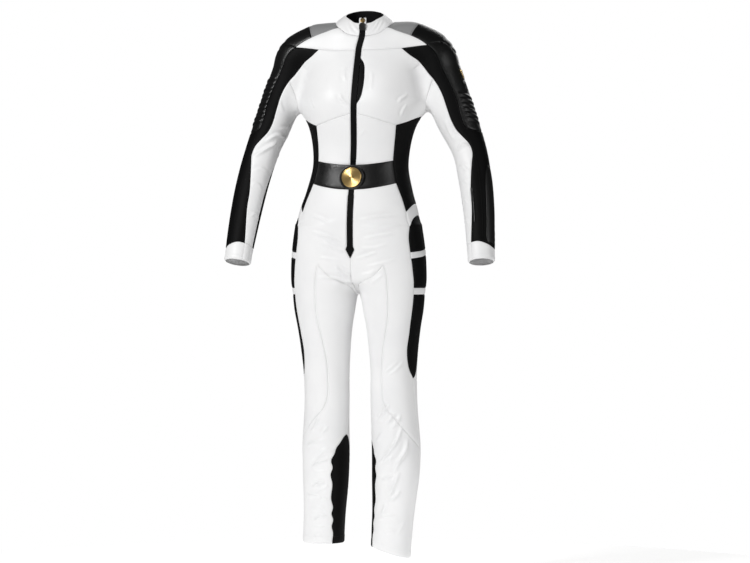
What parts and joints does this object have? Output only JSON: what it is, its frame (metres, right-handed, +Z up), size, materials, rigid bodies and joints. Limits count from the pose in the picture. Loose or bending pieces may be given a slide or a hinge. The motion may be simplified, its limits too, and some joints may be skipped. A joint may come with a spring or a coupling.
{
  "type": "ski suit",
  "caption": "Fitted one-piece ski suit in white shell cloth with black side, sleeve and leg panels, quilted sleeve patches, a stand collar, a front zip and a belt with a round buckle.",
  "frame": {"origin": "midway between the shoulders at the base of the neck, where the suit is worn from", "axes": "+Z up, the suit's height and longest extent; the wearer faces -Y, front to back is the shortest extent; the wearer's left is +X"},
  "size_m": [0.7426, 0.251, 1.493],
  "materials": {
    "yoke_front_L": "matt",
    "yoke_front_R": "matt",
    "shoulder_insert_L": "satin",
    "shoulder_insert_R": "satin",
    "shoulder_cap_L": "satin",
    "shoulder_cap_R": "satin",
    "chest_front_L": "matt",
    "chest_front_R": "matt",
    "waist_front_L": "matt",
    "waist_front_R": "matt",
    "side_body_L": "matt",
    "side_body_R": "matt",
    "belt_L": "satin",
    "belt_R": "satin",
    "back_bodice_L": "matt",
    "back_bodice_R": "matt",
    "leg_front_L": "matt",
    "leg_front_R": "matt",
    "leg_inner_L": "matt",
    "leg_inner_R": "matt",
    "leg_back_L": "matt",
    "leg_back_R": "matt",
    "calf_back_L": "matt",
    "calf_back_R": "matt",
    "calf_inner_L": "matt",
    "calf_inner_R": "matt",
    "thigh_a_L": "matt",
    "thigh_a_R": "matt",
    "thigh_b_L": "matt",
    "thigh_b_R": "matt",
    "thigh_c_L": "matt",
    "thigh_c_R": "matt",
    "sleeve_patch_L": "satin",
    "sleeve_patch_R": "satin",
    "sleeve_front_L": "matt",
    "sleeve_front_R": "matt",
    "sleeve_under_L": "matt",
    "sleeve_under_R": "matt",
    "sleeve_back_L": "matt",
    "sleeve_back_R": "matt",
    "cuff_L": "matt",
    "cuff_R": "matt",
    "underlap": "matt",
    "collar": "matt",
    "collar_lining": "matt",
    "zip_tape": "matt",
    "buckle_base": "matt",
    "buckle_disc": "brushed",
    "neck_slider": "brushed",
    "neck_pull": "matt",
    "pocket_slider": "brushed",
    "pocket_pull": "brushed",
    "forearm_slider": "matt",
    "forearm_pull": "matt"
  },
  "bodies": {
    "suit": {"yoke_front_L": "yoke_front_L", "yoke_front_R": "yoke_front_R", "shoulder_insert_L": "shoulder_insert_L", "shoulder_insert_R": "shoulder_insert_R", "shoulder_cap_L": "shoulder_cap_L", "shoulder_cap_R": "shoulder_cap_R", "chest_front_L": "chest_front_L", "chest_front_R": "chest_front_R", "waist_front_L": "waist_front_L", "waist_front_R": "waist_front_R", "side_body_L": "side_body_L", "side_body_R": "side_body_R", "belt_L": "belt_L", "belt_R": "belt_R", "back_bodice_L": "back_bodice_L", "back_bodice_R": "back_bodice_R", "leg_front_L": "leg_front_L", "leg_front_R": "leg_front_R", "leg_inner_L": "leg_inner_L", "leg_inner_R": "leg_inner_R", "leg_back_L": "leg_back_L", "leg_back_R": "leg_back_R", "calf_back_L": "calf_back_L", "calf_back_R": "calf_back_R", "calf_inner_L": "calf_inner_L", "calf_inner_R": "calf_inner_R", "thigh_a_L": "thigh_a_L", "thigh_a_R": "thigh_a_R", "thigh_b_L": "thigh_b_L", "thigh_b_R": "thigh_b_R", "thigh_c_L": "thigh_c_L", "thigh_c_R": "thigh_c_R", "sleeve_patch_L": "sleeve_patch_L", "sleeve_patch_R": "sleeve_patch_R", "sleeve_front_L": "sleeve_front_L", "sleeve_front_R": "sleeve_front_R", "sleeve_under_L": "sleeve_under_L", "sleeve_under_R": "sleeve_under_R", "sleeve_back_L": "sleeve_back_L", "sleeve_back_R": "sleeve_back_R", "cuff_L": "cuff_L", "cuff_R": "cuff_R", "underlap": "underlap", "collar": "collar", "collar_lining": "collar_lining", "zip_tape": "zip_tape", "buckle_base": "buckle_base", "buckle_disc": "buckle_disc", "neck_slider": "neck_slider", "pocket_slider": "pocket_slider", "forearm_slider": "forearm_slider"},
    "neck_tab": {"neck_pull": "neck_pull"},
    "pocket_tab": {"pocket_pull": "pocket_pull"},
    "forearm_tab": {"forearm_pull": "forearm_pull"}
  },
  "joints": [
    {"name": "neck_hinge", "type": "hinge", "parent": "suit", "child": "neck_tab", "pos_m": [0.02067, -0.0613, 0.00797], "axis": [-0.9936, -0.1132, 0], "range_deg": [0, 120]},
    {"name": "pocket_hinge", "type": "hinge", "parent": "suit", "child": "pocket_tab", "pos_m": [0.28149, -0.00226, -0.12902], "axis": [-0.1971, -0.9804, 0], "range_deg": [0, 120]},
    {"name": "forearm_hinge", "type": "hinge", "parent": "suit", "child": "forearm_tab", "pos_m": [0.32454, -0.07721, -0.45959], "axis": [-0.9777, -0.2102, 0], "range_deg": [0, 120]}
  ]
}
